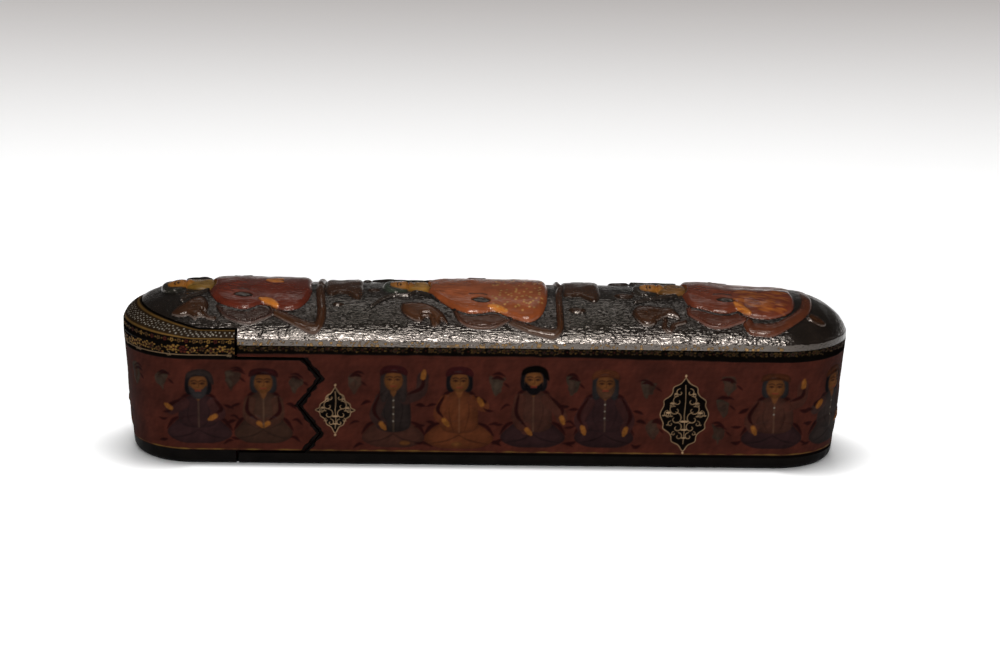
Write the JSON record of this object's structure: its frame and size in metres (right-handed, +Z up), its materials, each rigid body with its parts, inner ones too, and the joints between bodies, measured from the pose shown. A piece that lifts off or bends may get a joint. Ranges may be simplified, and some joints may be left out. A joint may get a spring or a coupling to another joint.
{
  "type": "pen box with sliding drawer",
  "caption": "Oval-ended lacquered paper-pulp pen box with a domed relief top and a sliding drawer holding a lidded inkwell, reed pens, penknife and nib plate.",
  "frame": {"origin": "middle of the closed box's footprint, on the table", "axes": "+X along the box towards its closed end, the drawer's head is at -X; +Z up through the dome; -Y is the front wall"},
  "size_m": [0.22, 0.044, 0.053],
  "materials": {
    "lacquer_case": "painted paper pulp under glossy aged varnish",
    "lacquer_relief": "moulded paper pulp under glossy aged varnish",
    "drawer_pulp": "paper pulp with a thin red-brown wash, satin",
    "inkwell_brass": "aged, handled",
    "steel": "ground, slightly spotted",
    "reed": "polished natural reed",
    "bone": "polished bone, yellowed"
  },
  "bodies": {
    "case": {"case_shell": "lacquer_case", "lid_figure_left": "lacquer_relief", "lid_figure_middle": "lacquer_relief", "lid_figure_right": "lacquer_relief", "lid_rocks": "lacquer_relief"},
    "drawer": {"drawer_tray": "drawer_pulp", "drawer_head": "lacquer_case", "inkwell_partition": "drawer_pulp", "inkwell_cup": "inkwell_brass", "inkwell_plate": "inkwell_brass", "inkwell_neck": "inkwell_brass", "hinge_ears": "inkwell_brass", "hinge_pin": "steel", "reed_pen_front": "reed", "reed_pen_back": "reed", "reed_pen_top": "reed", "knife_handle": "bone", "knife_ferrule": "inkwell_brass", "knife_blade": "steel", "nib_plate": "bone"},
    "inkwell_lid": {"inkwell_lid": "inkwell_brass", "lid_knob": "inkwell_brass"}
  },
  "joints": [
    {"name": "drawer_slide", "type": "slide", "parent": "case", "child": "drawer", "axis": [-1, 0, 0], "range_m": [0, 0.165]},
    {"name": "inkwell_lid_hinge", "type": "hinge", "parent": "drawer", "child": "inkwell_lid", "pos_m": [-0.0785, 0, 0.0243], "axis": [0, 1, 0], "range_deg": [0, 100]}
  ]
}
